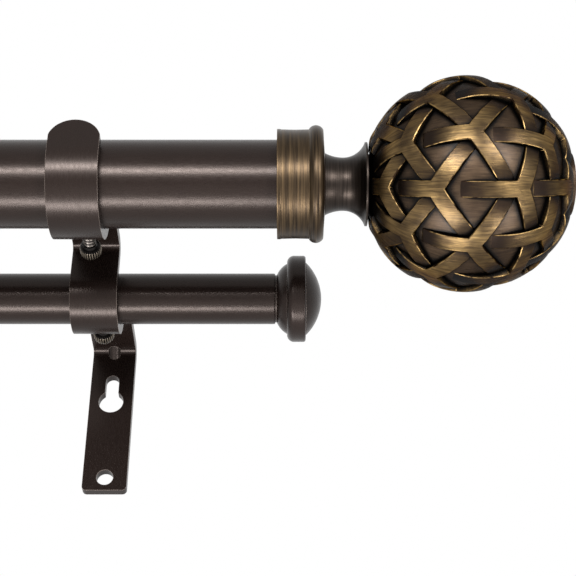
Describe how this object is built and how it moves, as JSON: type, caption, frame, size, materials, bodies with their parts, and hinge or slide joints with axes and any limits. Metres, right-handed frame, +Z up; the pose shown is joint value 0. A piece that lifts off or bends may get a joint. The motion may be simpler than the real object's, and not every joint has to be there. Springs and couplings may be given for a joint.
{
  "type": "double curtain pole",
  "caption": "Double curtain pole: thick front and thin back telescopic tubes in folded strip wall brackets, with woven ball finials and turned end caps.",
  "frame": {"origin": "centre of the right bracket's lower screw hole, in the wall plane", "axes": "+X along the poles to the right, -Y out from the wall towards the room, +Z up"},
  "size_m": [0.8632, 0.1339, 0.0756],
  "materials": {
    "pole_bronze": "satin dark bronze coating on steel tube",
    "bracket_bronze": "satin dark bronze coating on folded steel strip",
    "screw_bronze": "dark bronze plating, knurled head",
    "collar_brass": "brushed antique brass, darkened at the edges",
    "neck_bronze": "brown bronze satin",
    "ball_brass": "cast resin with a brushed antique brass finish, darkened in the recesses",
    "cap_bronze": "satin dark bronze",
    "stud_steel": "plain zinc plated threaded rod",
    "plug_plastic": "moulded black nylon"
  },
  "bodies": {
    "brackets_and_poles": {"bracket_right": "bracket_bronze", "bracket_left": "bracket_bronze", "front_outer_tube": "pole_bronze", "back_outer_tube": "pole_bronze", "finial_collar_right": "collar_brass", "finial_neck_right": "neck_bronze", "finial_ball_right": "ball_brass", "finial_stud_right": "stud_steel", "front_plug_right": "plug_plastic", "end_cap_right": "cap_bronze", "cap_stud_right": "stud_steel", "back_plug_right": "plug_plastic"},
    "front_extension": {"front_inner_tube": "pole_bronze", "front_plug_left": "plug_plastic", "finial_stud_left": "stud_steel", "finial_collar_left": "collar_brass", "finial_neck_left": "neck_bronze", "finial_ball_left": "ball_brass"},
    "back_extension": {"back_inner_tube": "pole_bronze", "back_plug_left": "plug_plastic", "cap_stud_left": "stud_steel", "end_cap_left": "cap_bronze"},
    "thumb_screw_front_right": {"thumb_screw_front_right": "screw_bronze"},
    "thumb_screw_front_left": {"thumb_screw_front_left": "screw_bronze"},
    "thumb_screw_back_right": {"thumb_screw_back_right": "screw_bronze"},
    "thumb_screw_back_left": {"thumb_screw_back_left": "screw_bronze"}
  },
  "joints": [
    {"name": "front_telescope", "type": "slide", "parent": "brackets_and_poles", "child": "front_extension", "axis": [-1, 0, 0], "range_m": [0, 0.508]},
    {"name": "back_telescope", "type": "slide", "parent": "brackets_and_poles", "child": "back_extension", "axis": [-1, 0, 0], "range_m": [0, 0.508]},
    {"name": "thumb_screw_front_right_travel", "type": "slide", "parent": "brackets_and_poles", "child": "thumb_screw_front_right", "axis": [0, 1, 0], "range_m": [0, 0.0025]},
    {"name": "thumb_screw_front_left_travel", "type": "slide", "parent": "brackets_and_poles", "child": "thumb_screw_front_left", "axis": [0, 1, 0], "range_m": [0, 0.0025]},
    {"name": "thumb_screw_back_right_travel", "type": "slide", "parent": "brackets_and_poles", "child": "thumb_screw_back_right", "axis": [0, 1, 0], "range_m": [0, 0.0025]},
    {"name": "thumb_screw_back_left_travel", "type": "slide", "parent": "brackets_and_poles", "child": "thumb_screw_back_left", "axis": [0, 1, 0], "range_m": [0, 0.0025]}
  ]
}
